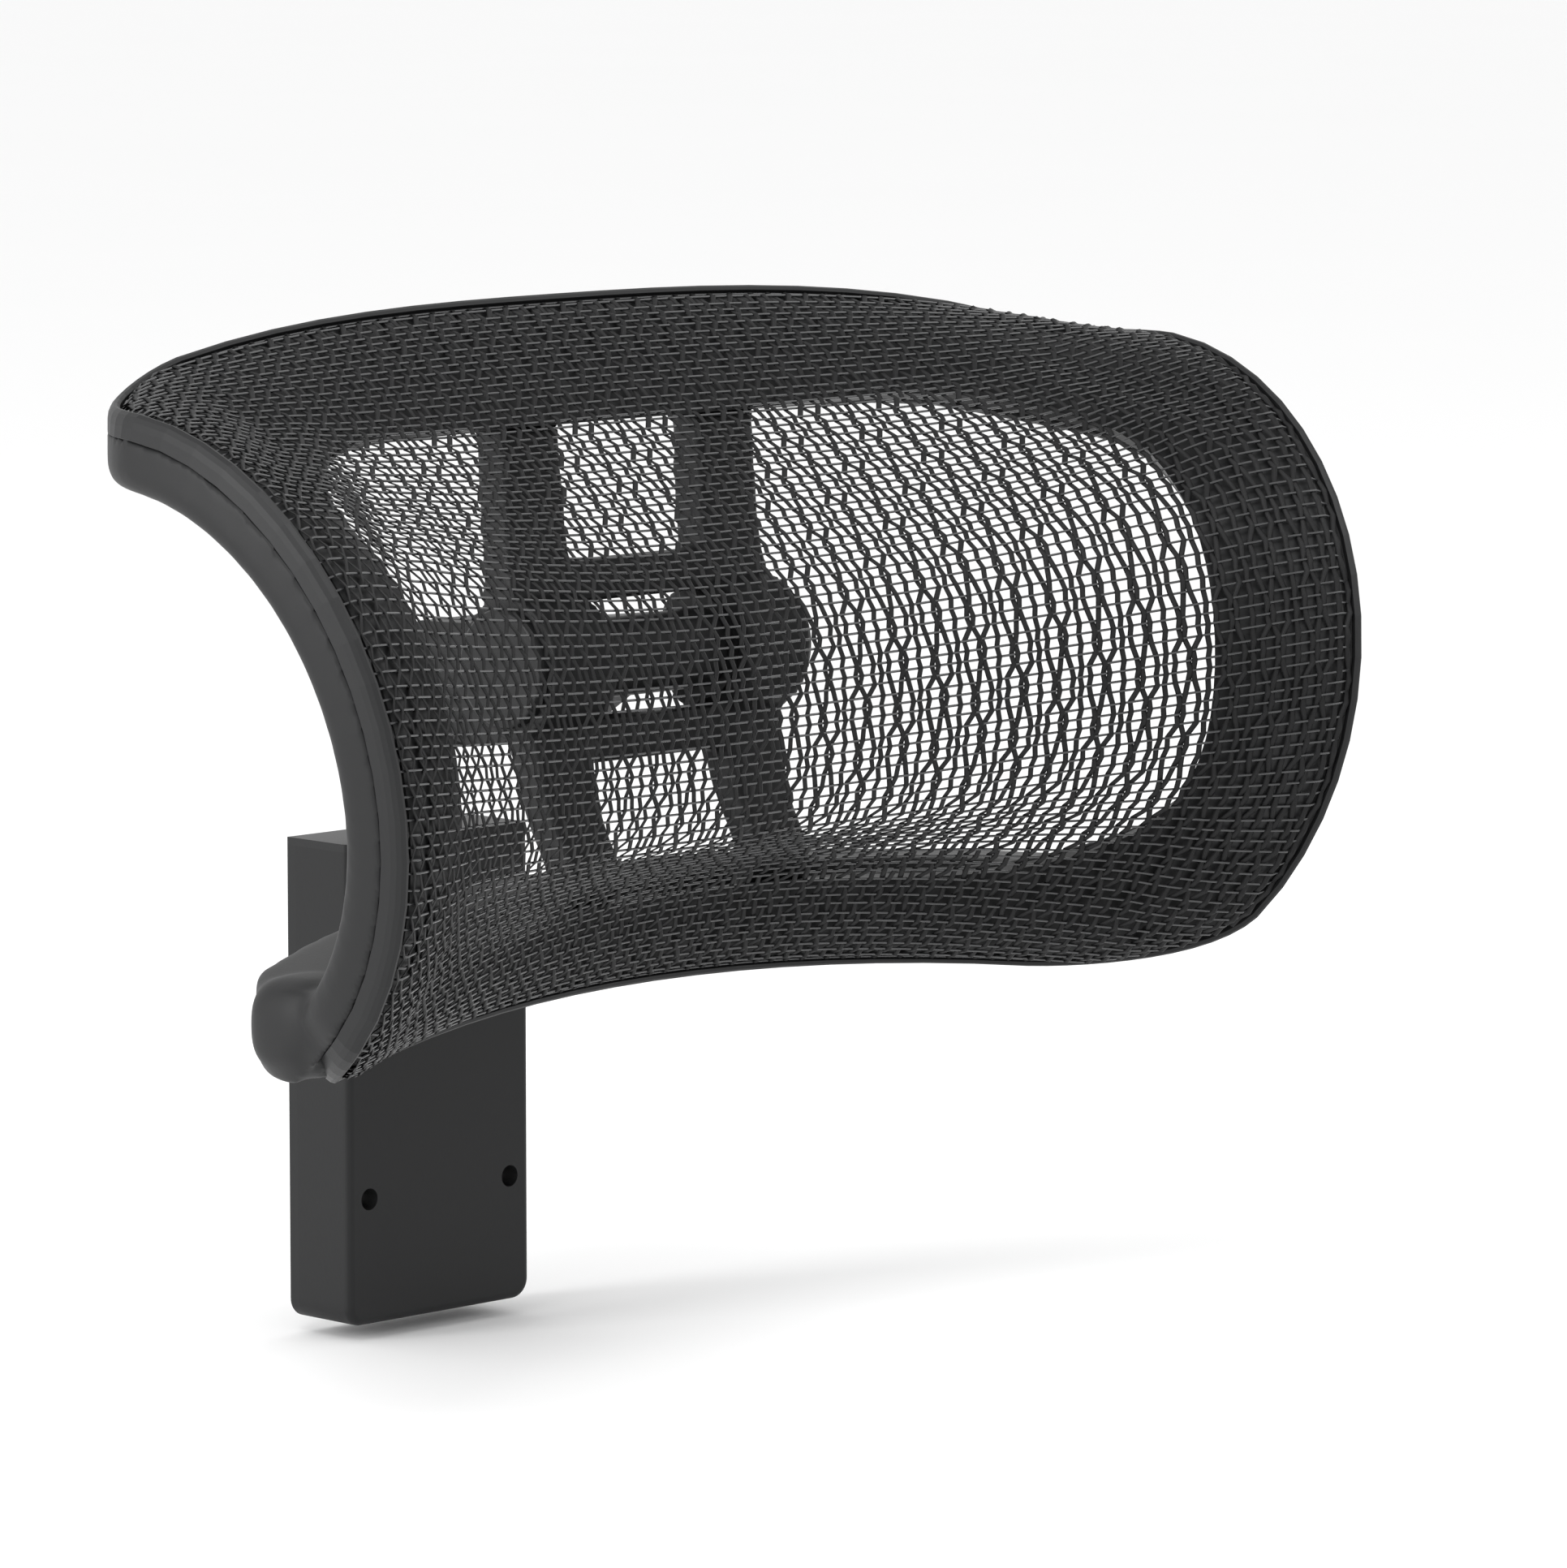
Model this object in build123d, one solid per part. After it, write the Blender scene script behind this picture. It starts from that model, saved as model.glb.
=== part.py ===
from build123d import *
import math
import os

# Headrest attachment for an office chair. Millimetres, +X to the sitter's left seen from the front,
# +Y to the back, +Z up. The origin is the middle of the four mounting holes, on the bracket's
# mounting face, which bears on the back of the chair's top rail.

os.makedirs("parts", exist_ok=True)

# ---- tilt hinge and height post: the two places that everything else is set out from ----
TILT_Y = -72.0            # tilt axis, in front of the mounting face
TILT_Z = 113.0            # tilt axis, above the mounting holes
POST_Y = 13.0             # middle of the height post

# ---- head surface, measured from the tilt axis: (y, z) ----
SIDE_ARC_CENTRE = (-7.7, -13.4)
SIDE_ARC_R = 82.8
SIDE_ARC_LOW = -67.0      # degrees above the forward direction, lower end of the head
SIDE_ARC_HIGH = 104.6     # the same, upper end
HALF_WIDTH = 160.3        # half width of the mesh edge level with the side arc's centre
WIDTH_FLARE = 12.4        # extra half width at the top of the side arc
CENTRE_STATIONS = (-1.0, -0.62, -0.25, 0.12, 0.5, 0.78, 1.0)
CENTRE_PROFILE = ((-6.0, -78.2), (-24.0, -49.9), (-47.0, -33.5), (-47.7, 5.9),
                  (-31.4, 31.0), (3.1, 61.8), (28.0, 84.9))

# ---- outlines on the head surface, as shares of its half width and half height ----
EDGE_CORNER = 0.27        # corner size of the mesh edge
WINDOW_WIDTH = 0.79
WINDOW_TOP = 0.75
WINDOW_BOTTOM = 0.725
WINDOW_CORNER = 0.42

# ---- ring section, at the mesh edge: outward and backward ----
RIM_OUT = 3.2
RIM_DEPTH = 17.0
SPLIT_DEPTH = 6.0         # joint line between the front ring and the rear frame
SEAM = 0.12               # bevel that shows the joint line
JOINT_GAP = 0.05
GROOVE_IN = 2.4
GROOVE_OUT = 0.2
GROOVE_DEPTH = 3.8
BAND_CROWN = 1.9          # how far the ring's front stands proud of a flat band
INNER_DROP = 1.0
INNER_THICK = 7.0
INNER_SLANT = 6.0         # how far the window's wall leans outward from front to back
FLARE_KEEP = 0.35         # share of the surface normal's sideways lean that the rim wall keeps

# ---- mesh panel ----
MESH_THICK = 1.2
MESH_GAP = 0.85
MESH_CROWN = 2.5
MESH_EDGE = 0.985
MESH_CORNER_TRIM = 0.088
MESH_COLUMNS = 11
MESH_ROWS = 7

# ---- hinge struts and ribs, from the tilt axis ----
STRUT_THICK = 11.0
STRUT_LINE = ((-12.0, -61.0), (-15.0, -52.0), (-7.0, -35.0), (-2.0, -15.0), (3.5, 15.0), (6.0, 35.0),
              (8.0, 57.0), (12.0, 66.0))
STRUT_FRONT_VIEW = ((23.5, 75), (42.0, 75), (43.2, 15), (39.0, -75), (23.4, -75), (22.5, 15))
RIB_HALF_WIDTH = 26.0
RIB_THICK = 8.0
UPPER_RIB = (14.2, 24.2)
LOWER_RIB = (-24.8, -13.8)
EYE_R = 17.0
EYE_IN = 22.5
EYE_OUT = 43.2
EYE_POCKET_R = 8.7
EYE_POCKET_FROM = 35.0

# ---- hinge hardware ----
BOLT_R = 4.0
RUNNING_GAP = 0.05
BUSH_R = 6.0
BOLT_HEAD_R = 6.5
BOLT_HEAD = 4.5
NUT_ACROSS = 13.0
NUT_THICK = 5.0
WASHER_THICK = 0.8
BARREL_R = 9.8
BARREL_HALF = 21.2
FRICTION_R = 12.5
CAP_R = 14.5
CAP_THICK = 3.0

# ---- bottom bar of the rear frame, from the tilt axis ----
BAR_HALF = 150.5
BAR_BACK_MID = 20.0
BAR_BACK_END = -23.5
BAR_DEPTH = 20.0
BAR_DEPTH_END = 42.0
BAR_LOW_MID = -76.0
BAR_LOW_END = -84.5
BAR_TALL = 22.5
BAR_END_R = 13.0
BAR_BEVEL = 5.0
BAR_PINHOLE_R = 1.8
BAR_PINHOLE_DEEP = 7.0
BAR_PINHOLE_X = 139.0

# ---- heels: solid cheeks that join the bar's ends to the rim, from the tilt axis ----
HEEL_IN = 118.0
HEEL_OUT = 152.0
HEEL_FRONT = -56.0
HEEL_BACK = -29.0
HEEL_BACK_R = 11.0
HEEL_EDGE_R = 5.0

# ---- neck and height post ----
NECK_HALF = 13.0
NECK_BACK = POST_Y + 9.0
NECK_LOW = 86.0
CORE_HALF = 10.0
CORE_THICK = 6.0
CORE_TOP = 108.0
CORE_LOW = -24.0
NOTCH_DEEP = 2.5
NOTCH_TALL = 4.0
NOTCH_PITCH = 11.0
NOTCH_STEPS = range(-3, 3)
STOP_TALL = 8.0

# ---- mounting bracket ----
BRACKET_HALF = 31.0
BRACKET_LOW = -60.0
BRACKET_HIGH = 60.0
BASE_DEPTH = 19.0
FRONT_WALL = 7.0
FLOOR_THICK = 3.0
COVER_THICK = 3.0
CHANNEL_HALF = 14.5
MOUNT_X = 24.0
MOUNT_Z = 28.0
MOUNT_HOLE_R = 2.75
MOUNT_HEAD_R = 5.0
MOUNT_GRIP = 5.0
COVER_SCREWS = ((24.0, 55.5), (24.0, -52.0))
SLIDE_GAP = 0.15

# ---- latch ----
LATCH_Z = 45.0
LATCH_TRAVEL = 3.2
LATCH_THICK = 3.0
POCKET_TALL = 13.0
POCKET_LEFT = -24.0
BUTTON_WALL = 25.0
SPRING_R = 2.1
SPRING_WIRE_R = 0.3
SPRING_PITCH = 1.55


# ---------------------------------------------------------------- head surface
def smooth_through(stations, values, q):
    """Value at q of a smooth curve through the stations, by cubic pieces with averaged slopes."""
    last = len(stations) - 1
    slopes = []
    for i in range(last + 1):
        low, high = max(i - 1, 0), min(i + 1, last)
        slopes.append((values[high] - values[low]) / (stations[high] - stations[low]))
    i = 0
    while i < last - 1 and q > stations[i + 1]:
        i += 1
    span = stations[i + 1] - stations[i]
    u = (q - stations[i]) / span
    return (values[i] * (1 + 2 * u) * (1 - u) ** 2 + values[i + 1] * u * u * (3 - 2 * u)
            + span * (slopes[i] * u * (1 - u) ** 2 - slopes[i + 1] * u * u * (1 - u)))


CENTRE_Y = [point[0] for point in CENTRE_PROFILE]
CENTRE_Z = [point[1] for point in CENTRE_PROFILE]


def head_surface(p, q):
    """Point of the head surface: p runs across it and q up it, each from -1 to 1."""
    angle = math.radians(SIDE_ARC_LOW + (SIDE_ARC_HIGH - SIDE_ARC_LOW) * (q + 1) / 2)
    side_y = SIDE_ARC_CENTRE[0] - SIDE_ARC_R * math.cos(angle)
    side_z = SIDE_ARC_CENTRE[1] + SIDE_ARC_R * math.sin(angle)
    mid_y = smooth_through(CENTRE_STATIONS, CENTRE_Y, q)
    mid_z = smooth_through(CENTRE_STATIONS, CENTRE_Z, q)
    x = p * (HALF_WIDTH + WIDTH_FLARE * math.sin(angle))
    lift_share = abs(p) ** (2 + max(0.0, q) ** 2)
    return Vector(x, mid_y + (side_y - mid_y) * p * p, mid_z + (side_z - mid_z) * lift_share)


def surface_normal(p, q):
    """Unit normal of the head surface, pointing away from the sitter's head."""
    step = 0.004
    across = head_surface(p + step, q) - head_surface(p - step, q)
    up = head_surface(p, q + step) - head_surface(p, q - step)
    return up.cross(across).normalized()


def outline(share, width, top, bottom, corner):
    """Point (p, q) of a rounded outline: share 0 is the bottom middle and 1 the top middle."""
    legs = (1 - corner, corner, 2 * (1 - corner), corner, 1 - corner)
    walk = share * sum(legs)
    if walk <= legs[0]:
        p, q = walk, -1.0
    elif walk <= sum(legs[:2]):
        turn = (walk - legs[0]) / corner * math.pi / 2
        p, q = 1 - corner + corner * math.sin(turn), -1 + corner - corner * math.cos(turn)
    elif walk <= sum(legs[:3]):
        p, q = 1.0, -1 + corner + walk - sum(legs[:2])
    elif walk <= sum(legs[:4]):
        turn = (walk - sum(legs[:3])) / corner * math.pi / 2
        p, q = 1 - corner + corner * math.cos(turn), 1 - corner + corner * math.sin(turn)
    else:
        p, q = sum(legs) - walk, 1.0
    return p * width, q * (top if q > 0 else bottom)


FLAT_SHARES = [0.2143 * k / 8 for k in range(8)]
CORNER_SHARES = [0.2143 + 0.0714 * k / 12 for k in range(13)]
SIDE_SHARES = [0.2857 + 0.4286 * k / 18 for k in range(1, 18)]
RING_SHARES = [*FLAT_SHARES, *CORNER_SHARES, *SIDE_SHARES,
               *[1 - share for share in reversed(CORNER_SHARES)],
               *[1 - share for share in reversed(FLAT_SHARES)]]


def ring_frame(share):
    """Mesh edge point, inward-to-outward direction, depth direction and band width at a share."""
    corner_walk = outline(share, 1.0, 1.0, 1.0, EDGE_CORNER)
    edge = head_surface(*corner_walk)
    inner = head_surface(*outline(share, WINDOW_WIDTH, WINDOW_TOP, WINDOW_BOTTOM, WINDOW_CORNER))
    depth = surface_normal(min(corner_walk[0], 0.97), max(-0.97, min(0.97, corner_walk[1])))
    depth = Vector(depth.X * FLARE_KEEP, depth.Y, depth.Z).normalized()
    band = edge - inner
    return edge, band.normalized(), depth, band.length


def ring_loft(section, shares=RING_SHARES):
    """Both halves of a closed ring, lofted through the section at each share."""
    wires = []
    for share in shares:
        edge, outward, depth, width = ring_frame(share)
        points, arc = section(width)
        corners = [edge + outward * a + depth * b for a, b in points]
        edges = [Line(corners[k], corners[(k + 1) % len(corners)]) for k in range(len(corners))]
        if arc is not None:
            start, (a, b) = arc
            edges[start] = ThreePointArc(corners[start], edge + outward * a + depth * b,
                                         corners[(start + 1) % len(corners)])
        wires.append(Wire(edges))
    half = Solid.make_loft(wires, ruled=True)
    return half.fuse(half.mirror(Plane.YZ))


def front_section(width):
    points = [(GROOVE_OUT, -0.5), (0.9, -0.9), (1.7, -0.7), (2.5, 0.3), (3.0, 1.6), (RIM_OUT, 3.2),
              (RIM_OUT, SPLIT_DEPTH - SEAM), (RIM_OUT - SEAM, SPLIT_DEPTH),
              (INNER_SLANT / 2 - width, INNER_DROP + INNER_THICK / 2),
              (-width, INNER_DROP), (-GROOVE_IN, 0.0), (-GROOVE_IN, GROOVE_DEPTH), (GROOVE_OUT, GROOVE_DEPTH)]
    return points, (9, (-width * 0.45, -BAND_CROWN))


def rear_section(width):
    points = [(RIM_OUT - SEAM, SPLIT_DEPTH + JOINT_GAP), (RIM_OUT, SPLIT_DEPTH + SEAM),
              (RIM_OUT, RIM_DEPTH - 3.0), (RIM_OUT - 1.0, RIM_DEPTH - 0.8), (RIM_OUT - 3.4, RIM_DEPTH),
              (-width * 0.35, RIM_DEPTH - 2.5),
              (INNER_SLANT - width, INNER_DROP + INNER_THICK),
              (INNER_SLANT / 2 - width, INNER_DROP + INNER_THICK / 2 + JOINT_GAP)]
    return points, None


def front_cutter_section(width):
    points = [(12.0, -30.0), (12.0, SPLIT_DEPTH), (RIM_OUT - SEAM, SPLIT_DEPTH + JOINT_GAP),
              (INNER_SLANT / 2 - width, INNER_DROP + INNER_THICK / 2 + JOINT_GAP),
              (-width - 14.0, INNER_DROP + INNER_THICK / 2 - 2.0),
              (-width - 14.0, -30.0)]
    return points, None


def strip_section(width):
    return [(-2.2, 0.6), (-0.1, 0.3), (-0.1, 3.5), (-2.2, 3.5)], None


def at_tilt(shape):
    return shape.moved(Location((0, TILT_Y, TILT_Z)))


def x_rod(radius, low, high, y=0.0, z=0.0):
    return Solid.make_cylinder(radius, high - low, Plane((low, y, z), z_dir=(1, 0, 0)))


def y_rod(radius, low, high, x, z):
    return Solid.make_cylinder(radius, high - low, Plane((x, low, z), z_dir=(0, 1, 0)))


def block(x, y, z):
    return Solid.make_box(x[1] - x[0], y[1] - y[0], z[1] - z[0], Plane((x[0], y[0], z[0])))


def side_plate(points, x_low, x_high):
    """Plate between two X planes from a (y, z) outline."""
    face = Face(Wire.make_polygon([(x_low, y, z) for y, z in points], close=True))
    return Solid.extrude(face, Vector(x_high - x_low, 0, 0))


# ---------------------------------------------------------------- head
def strut_pair():
    heights = [point[1] for point in STRUT_LINE]
    depths = [point[0] for point in STRUT_LINE]
    rows = [heights[0] + (heights[-1] - heights[0]) * k / 16 for k in range(17)]
    line = [(smooth_through(heights, depths, z), z) for z in rows]
    front = [(0, y - STRUT_THICK / 2, z) for y, z in line]
    back = [(0, y + STRUT_THICK / 2, z) for y, z in reversed(line)]
    wire = Wire([Spline(*front), Line(front[-1], back[0]), Spline(*back), Line(back[-1], front[0])])
    slab = Solid.extrude(Face(wire), Vector(60, 0, 0))
    front_view = Face(Wire.make_polygon([(x, -60, z) for x, z in STRUT_FRONT_VIEW], close=True))
    strut = slab.intersect(Solid.extrude(front_view, Vector(0, 120, 0))).solids()[0]
    return strut, strut.mirror(Plane.YZ)


def rib(span, y):
    return block((-RIB_HALF_WIDTH, RIB_HALF_WIDTH), (y - RIB_THICK / 2, y + RIB_THICK / 2), span)


def heel(side):
    """Rounded cheek between one end of the bottom bar and the rim."""
    low, high = sorted((side * HEEL_IN, side * HEEL_OUT))
    cheek = block((low, high), (HEEL_FRONT, HEEL_BACK), (BAR_LOW_END, BAR_LOW_END + BAR_TALL))
    corner = cheek.edges().filter_by(Axis.Z).filter_by(lambda e: abs(e.center().X) > HEEL_IN + 1)
    cheek = cheek.fillet(HEEL_BACK_R, [corner.sort_by(Axis.Y)[-1]])
    under = cheek.faces().sort_by(Axis.Z)[0].edges()
    outside = [edge for edge in under if abs(edge.center().X) > HEEL_IN + 1]
    return cheek.fillet(HEEL_EDGE_R, outside)


def bottom_bar():
    wires = []
    end_steps = [BAR_HALF - BAR_END_R * (1 - math.sin(k * math.pi / 10)) for k in range(6)]
    steps = [0.0, 23.0, 46.0, 69.0, 92.0, 115.0, *end_steps]
    for x in [-step for step in reversed(steps[1:])] + steps:
        share = (x / BAR_HALF) ** 2
        into_end = max(0.0, abs(x) - BAR_HALF + BAR_END_R) / BAR_END_R
        bow = BAR_BACK_MID + (BAR_BACK_END - BAR_BACK_MID) * share
        back = bow - BAR_END_R * (1 - math.sqrt(1 - into_end ** 2))
        front = bow - BAR_DEPTH - (BAR_DEPTH_END - BAR_DEPTH) * share
        low = BAR_LOW_MID + (BAR_LOW_END - BAR_LOW_MID) * share
        high = low + BAR_TALL
        wires.append(Wire.make_polygon([(x, front, low), (x, back - BAR_BEVEL, low),
                                        (x, back - BAR_BEVEL * 0.3, low + BAR_BEVEL * 0.3),
                                        (x, back, low + BAR_BEVEL), (x, back, high - 1.5),
                                        (x, back - 1.5, high), (x, front, high)], close=True))
    bar = Solid.make_loft(wires, ruled=True)
    for side in (-1, 1):
        bar = bar.fuse(heel(side))
    for side in (-1, 1):
        foot = (side * BAR_PINHOLE_X, BAR_BACK_END - 11, BAR_LOW_END + BAR_TALL + 1 - BAR_PINHOLE_DEEP)
        bar = bar.cut(Solid.make_cylinder(BAR_PINHOLE_R, BAR_PINHOLE_DEEP, Plane(foot)))
    return bar


SCREW_SHARES = (0.3, 0.5, 0.7, 0.86)


def ring_screw(share, side, shank_r, head_r, tip, head_from, head_to):
    edge, outward, depth, width = ring_frame(share)
    foot = edge - outward * (width * 0.3)
    mirror_x = Vector(side * foot.X, foot.Y, foot.Z)
    way = Vector(side * depth.X, depth.Y, depth.Z)
    shank = Solid.make_cylinder(shank_r, head_from - tip, Plane(mirror_x + way * tip, z_dir=way))
    head = Solid.make_cylinder(head_r, head_to - head_from, Plane(mirror_x + way * head_from, z_dir=way))
    return shank.fuse(head)


def all_ring_screws(shank_r, head_r, tip, head_from, head_to):
    return [ring_screw(share, side, shank_r, head_r, tip, head_from, head_to)
            for share in SCREW_SHARES for side in (-1, 1)]


def rear_frame(front_cutter):
    inner = [rib(UPPER_RIB, 3.0), rib(LOWER_RIB, -3.0), *strut_pair(), bottom_bar()]
    body = ring_loft(rear_section)
    for piece in inner:
        body = body.fuse(piece.cut(front_cutter))
    for side in (-1, 1):
        low, high = sorted((side * EYE_IN, side * EYE_OUT))
        body = body.fuse(x_rod(EYE_R, low, high))
    for side in (-1, 1):
        low, high = sorted((side * EYE_IN, side * EYE_OUT))
        body = body.cut(x_rod(BUSH_R, low, high))
        low, high = sorted((side * EYE_POCKET_FROM, side * EYE_OUT))
        body = body.cut(x_rod(EYE_POCKET_R, low, high))
    return body.cut(*all_ring_screws(1.5, 3.1, 0.8, 12.0, 30.0))


def crown_at(p, q):
    """How far the mesh stands in front of the head surface."""
    down = (1 + q) / (1 - WINDOW_BOTTOM)
    share = max(0.0, min((1 - abs(p)) / (1 - WINDOW_WIDTH), (1 - q) / (1 - WINDOW_TOP), down, 1.0))
    return MESH_CROWN * math.sin(share * math.pi * 0.84)


def mesh_point(i, j, offset):
    """Point of the mesh sheet: i counts columns and j rows, each from the middle of the panel."""
    p, q = MESH_EDGE * math.sin(i / MESH_COLUMNS * math.pi / 2), MESH_EDGE * j / MESH_ROWS
    pe, qe = p * (1 - MESH_CORNER_TRIM * q ** 8), q * (1 - MESH_CORNER_TRIM * p ** 8)
    return head_surface(pe, qe) - surface_normal(pe, qe) * (offset + crown_at(pe, qe))


def mesh_panel():
    """One closed sheet: a front and a back skin of small patches, and the strip between them all round."""
    columns = range(-MESH_COLUMNS, MESH_COLUMNS + 1)
    rows = range(-MESH_ROWS, MESH_ROWS + 1)
    back, front = ([[mesh_point(i, j, offset) for j in rows] for i in columns]
                   for offset in (MESH_GAP, MESH_GAP + MESH_THICK))
    quads = []
    for skin in (back, front):
        for near, far in zip(skin, skin[1:]):
            quads += list(zip(near, near[1:], far, far[1:]))
    last_i, last_j = len(back) - 1, len(back[0]) - 1
    border = [(i, 0) for i in range(last_i)] + [(last_i, j) for j in range(last_j)]
    border += [(i, last_j) for i in range(last_i, 0, -1)] + [(0, j) for j in range(last_j, 0, -1)]
    for (i, j), (k, m) in zip(border, border[1:] + border[:1]):
        quads.append((back[i][j], back[k][m], front[i][j], front[k][m]))
    patches = [Face.make_surface_from_curves(Line(a, b), Line(c, d)) for a, b, c, d in quads]
    return Solid(Shell(patches))


# ---------------------------------------------------------------- neck and post
def neck_arm():
    side = [(0, BARREL_R), (40, 5.0), (66, 4.0), (88, -4.0), (NECK_BACK - TILT_Y, -18.0),
            (NECK_BACK - TILT_Y, NECK_LOW - TILT_Z), (POST_Y - 8.0 - TILT_Y, NECK_LOW - TILT_Z), (70, -23.0),
            (52, -26.0), (32, -24.0), (14, -12.0)]
    body = side_plate([(y + TILT_Y, z + TILT_Z) for y, z in side], -NECK_HALF, NECK_HALF)
    long_edges = [edge for edge in body.edges().filter_by(Axis.X, reverse=True)
                  if abs(abs(edge.center().X) - NECK_HALF) < 0.1]
    body = body.chamfer(1.5, 1.5, [edge for edge in long_edges
                                   if edge.center().Y > TILT_Y + 20 and edge.center().Z > NECK_LOW + 2])
    hub = at_tilt(x_rod(BARREL_R, -BARREL_HALF, BARREL_HALF))
    body = body.fuse(hub)
    body = body.cut(at_tilt(x_rod(BUSH_R + RUNNING_GAP, -BARREL_HALF, BARREL_HALF)))
    body = body.cut(block((-CORE_HALF, CORE_HALF), (POST_Y - CORE_THICK / 2, POST_Y + CORE_THICK / 2),
                          (NECK_LOW - 1, CORE_TOP)))
    return body.cut(y_rod(2.0, POST_Y + CORE_THICK / 2, NECK_BACK, 0, CORE_TOP - 6),
                    y_rod(3.9, NECK_BACK - 2.5, NECK_BACK + 1, 0, CORE_TOP - 6),
                    y_rod(1.7, POST_Y - 6.0, POST_Y, 0, CORE_TOP - 6))


def post_sleeve():
    """Plastic sheath of the post, notched down one edge for the latch."""
    sheath = block((-NECK_HALF, NECK_HALF), (POST_Y - 5, POST_Y + 5), (CORE_LOW, NECK_LOW))
    sheath = sheath.fillet(1.5, sheath.edges().filter_by(Axis.Z))
    for step in NOTCH_STEPS:
        low = LATCH_Z + step * NOTCH_PITCH - NOTCH_TALL / 2
        notch = block((-NECK_HALF - 1, -NECK_HALF + NOTCH_DEEP), (0, 26), (low, low + NOTCH_TALL))
        sheath = sheath.cut(notch)
    return sheath.cut(block((-CORE_HALF, CORE_HALF), (POST_Y - CORE_THICK / 2, POST_Y + CORE_THICK / 2),
                            (CORE_LOW - 1, NECK_LOW + 1)))


def post_core():
    core = block((-CORE_HALF, CORE_HALF), (POST_Y - CORE_THICK / 2, POST_Y + CORE_THICK / 2),
                 (CORE_LOW - STOP_TALL + 2, CORE_TOP))
    core = core.cut(y_rod(2.0, POST_Y - 4, POST_Y + 4, 0, CORE_TOP - 6))
    return core.cut(Solid.make_cylinder(1.7, 12, Plane((0, POST_Y, CORE_LOW - STOP_TALL + 1))))


def core_screw():
    head = y_rod(3.8, NECK_BACK - 2.4, NECK_BACK - 0.2, 0, CORE_TOP - 6)
    shank = y_rod(1.65, POST_Y - 5.5, NECK_BACK - 2.4, 0, CORE_TOP - 6)
    return head.fuse(shank).cut(y_rod(1.2, NECK_BACK - 1.8, NECK_BACK, 0, CORE_TOP - 6))


def bar_stop():
    stop = block((-CHANNEL_HALF + 0.3, CHANNEL_HALF - 0.3), (POST_Y - 5.2, POST_Y + 5.2),
                 (CORE_LOW - STOP_TALL, CORE_LOW))
    stop = stop.cut(block((-CORE_HALF, CORE_HALF), (POST_Y - CORE_THICK / 2, POST_Y + CORE_THICK / 2),
                          (CORE_LOW - STOP_TALL + 2, CORE_LOW + 1)))
    return stop.cut(Solid.make_cylinder(1.8, 4, Plane((0, POST_Y, CORE_LOW - STOP_TALL - 1))))


def stop_screw():
    head = Solid.make_cylinder(3.2, 2.0, Plane((0, POST_Y, CORE_LOW - STOP_TALL - 2.0)))
    shank = Solid.make_cylinder(1.65, 11.0, Plane((0, POST_Y, CORE_LOW - STOP_TALL)))
    return head.fuse(shank).cut(Solid.make_cylinder(1.0, 1.2, Plane((0, POST_Y, CORE_LOW - STOP_TALL - 2.1))))


# ---------------------------------------------------------------- bracket
def bracket_base():
    body = block((-BRACKET_HALF, BRACKET_HALF), (0, BASE_DEPTH), (BRACKET_LOW, BRACKET_HIGH))
    body = body.fillet(5.0, [e for e in body.edges().filter_by(Axis.Y) if e.center().Z < 0])
    body = body.fillet(2.0, [e for e in body.edges().filter_by(Axis.Z) if e.center().Y < 1])
    body = body.cut(block((-CHANNEL_HALF, CHANNEL_HALF), (FRONT_WALL, BASE_DEPTH + 1),
                          (BRACKET_LOW + FLOOR_THICK, BRACKET_HIGH + 1)))
    body = body.cut(block((POCKET_LEFT, BUTTON_WALL), (FRONT_WALL, BASE_DEPTH + 1),
                          (LATCH_Z - POCKET_TALL / 2, LATCH_Z + POCKET_TALL / 2)))
    body = body.cut(block((BUTTON_WALL - 1, BRACKET_HALF + 1), (8.0, 18.0), (LATCH_Z - 5.3, LATCH_Z + 5.3)))
    for x in (-MOUNT_X, MOUNT_X):
        for z in (-MOUNT_Z, MOUNT_Z):
            body = body.cut(y_rod(MOUNT_HOLE_R, -1, BASE_DEPTH + 1, x, z),
                            y_rod(MOUNT_HEAD_R, MOUNT_GRIP, BASE_DEPTH + 1, x, z))
    for x, z in COVER_SCREWS:
        for side in (-1, 1):
            body = body.cut(y_rod(1.3, BASE_DEPTH - 10, BASE_DEPTH + 1, side * x, z))
    return body


def bracket_cover():
    plate = block((-BRACKET_HALF, BRACKET_HALF), (BASE_DEPTH, BASE_DEPTH + COVER_THICK),
                  (BRACKET_LOW, BRACKET_HIGH))
    plate = plate.fillet(5.0, [e for e in plate.edges().filter_by(Axis.Y) if e.center().Z < 0])
    for x in (-MOUNT_X, MOUNT_X):
        for z in (-MOUNT_Z, MOUNT_Z):
            plate = plate.cut(y_rod(MOUNT_HEAD_R, BASE_DEPTH - 1, BASE_DEPTH + COVER_THICK + 1, x, z))
    for x, z in COVER_SCREWS:
        for side in (-1, 1):
            plate = plate.cut(y_rod(1.6, BASE_DEPTH - 1, BASE_DEPTH + 1.5, side * x, z),
                              y_rod(2.9, BASE_DEPTH + 1.2, BASE_DEPTH + 4, side * x, z))
    return plate


def cover_screws():
    solids = []
    for x, z in COVER_SCREWS:
        for side in (-1, 1):
            shank = y_rod(1.25, BASE_DEPTH - 8, BASE_DEPTH + 1.2, side * x, z)
            head = y_rod(2.8, BASE_DEPTH + 1.2, BASE_DEPTH + 2.8, side * x, z)
            solids.append(shank.fuse(head).cut(y_rod(1.0, BASE_DEPTH + 2.0, BASE_DEPTH + 3, side * x, z)))
    return Compound(solids)


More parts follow.
